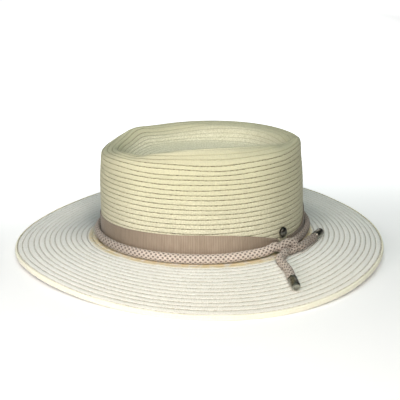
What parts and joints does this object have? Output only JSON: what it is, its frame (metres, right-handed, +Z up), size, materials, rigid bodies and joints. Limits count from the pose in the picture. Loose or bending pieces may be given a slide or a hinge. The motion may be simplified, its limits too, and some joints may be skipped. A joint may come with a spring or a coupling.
{
  "type": "straw hat",
  "caption": "Braided straw hat with an upright crown sunken on top, a wide level brim, a gathered ribbon band and a knotted cord with metal-tipped ends.",
  "frame": {"origin": "middle of the brim's outline, on the plane that the hat rests on", "axes": "+X from the front of the hat to its back, +Y towards the wearer's right, +Z up out of the crown"},
  "size_m": [0.3856, 0.335, 0.1286],
  "materials": {
    "straw": "matt sewn braid of paper straw, cream",
    "ribbon": "taupe grosgrain ribbon",
    "cord": "braided cord, taupe and cream",
    "dark_metal": "polished dark nickel, blank"
  },
  "bodies": {
    "root": {"brim": "straw", "edge_row": "straw", "crown": "straw", "ribbon_band": "ribbon", "cord_band": "cord", "cord_knot": "cord", "stud": "dark_metal", "cord_tail_side": "cord", "cord_tail_back": "cord", "ferrule_side": "dark_metal", "ferrule_back": "dark_metal"}
  },
  "joints": []
}
